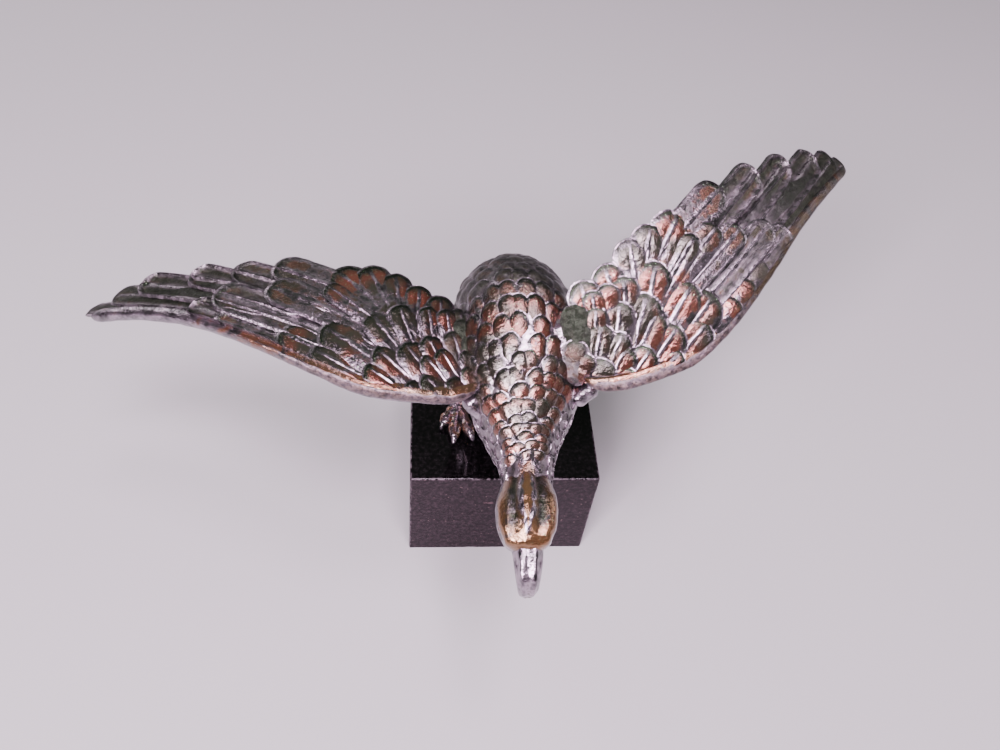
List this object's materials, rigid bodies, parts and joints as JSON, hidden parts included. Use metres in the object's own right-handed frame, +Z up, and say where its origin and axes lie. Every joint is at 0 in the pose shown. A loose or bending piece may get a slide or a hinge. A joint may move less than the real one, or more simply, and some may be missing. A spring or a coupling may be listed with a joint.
{
  "type": "eagle hood ornament",
  "caption": "Cast metal eagle with spread wings and hooked beak, standing on a polished square block of black granite.",
  "frame": {"origin": "middle of the granite block's underside", "axes": "+Z up, the bird faces -Y, its left wing lies towards +X"},
  "size_m": [0.1895, 0.1026, 0.1118],
  "materials": {
    "worn_plated_casting": "worn plating over a copper coat, patinated in the recesses",
    "black_granite": "polished on top, honed on the sides"
  },
  "bodies": {
    "root": {"eagle": "worn_plated_casting", "granite_base": "black_granite"}
  },
  "joints": []
}
